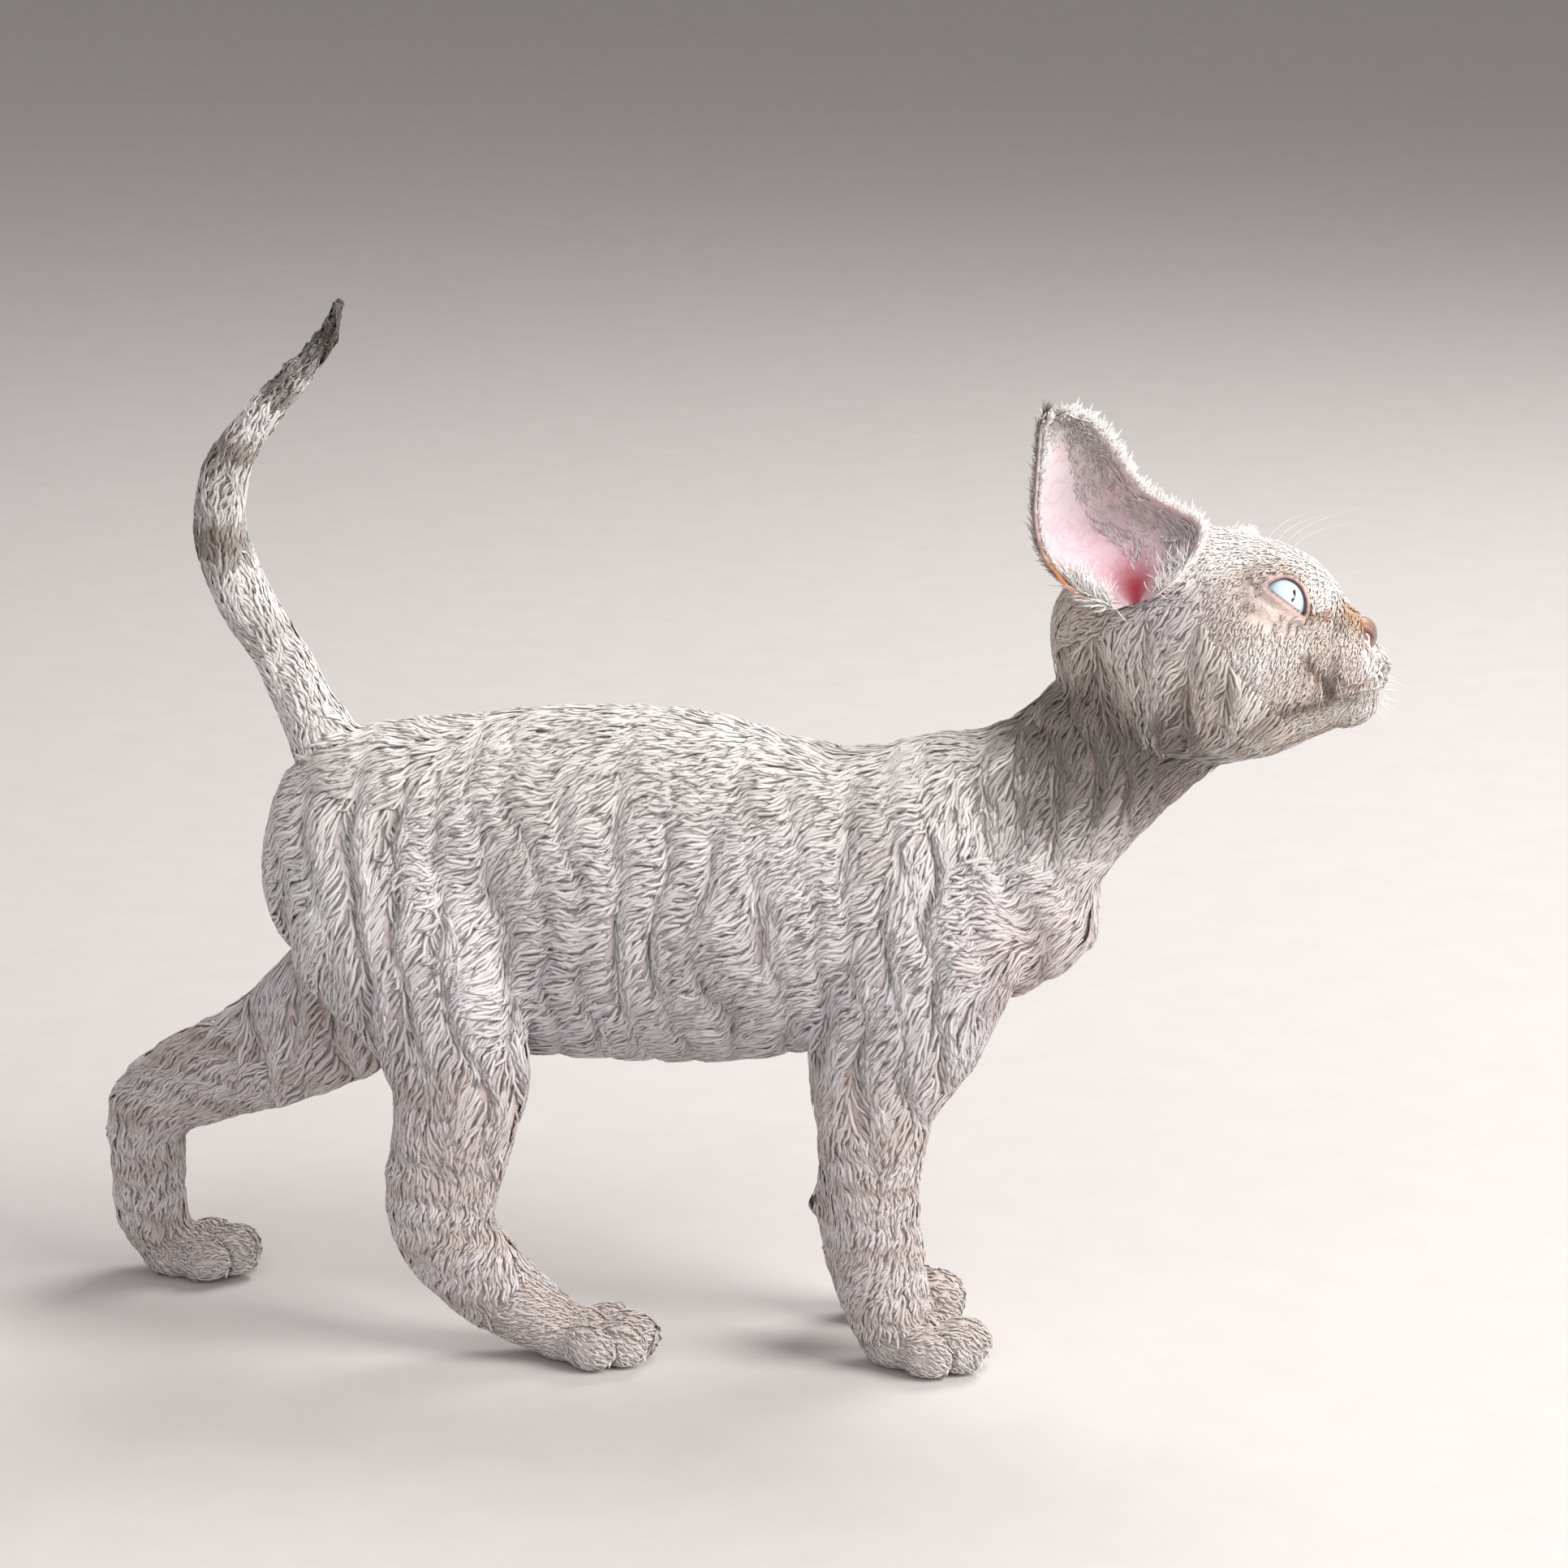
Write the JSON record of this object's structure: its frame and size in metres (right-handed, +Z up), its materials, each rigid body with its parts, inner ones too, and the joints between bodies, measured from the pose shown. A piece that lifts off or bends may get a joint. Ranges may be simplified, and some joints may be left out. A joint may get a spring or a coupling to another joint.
{
  "type": "devon rex kitten model",
  "caption": "Still, life-size model of a young Devon Rex cat standing in a walking pose with its nose raised, tail up and wavy short coat.",
  "frame": {"origin": "on the floor under the middle of the whole cat's box", "axes": "+X towards the nose, +Y to the cat's left, +Z up"},
  "size_m": [0.2888, 0.0929, 0.2264],
  "materials": {
    "cream_coat": "soft wavy cream fur with grey-brown roots",
    "paw_fur": "short taupe fur",
    "dark_tail_fur": "short dark brown fur",
    "ear_skin": "thin lilac-pink skin with fine down",
    "eye": "wet pale blue eye"
  },
  "bodies": {
    "root": {"head": "cream_coat", "neck": "cream_coat", "torso": "cream_coat", "thigh_right": "cream_coat", "thigh_left": "cream_coat", "upper_arm_right": "cream_coat", "upper_arm_left": "cream_coat", "shank_right": "cream_coat", "shank_left": "cream_coat", "forearm_right": "cream_coat", "forearm_left": "cream_coat", "tail_base": "cream_coat", "tail_middle": "cream_coat", "hind_foot_right": "paw_fur", "hind_foot_left": "paw_fur", "forepaw_right": "paw_fur", "forepaw_left": "paw_fur", "tail_tip": "dark_tail_fur", "ear_right": "ear_skin", "ear_left": "ear_skin", "eye_right": "eye", "eye_left": "eye"}
  },
  "joints": []
}
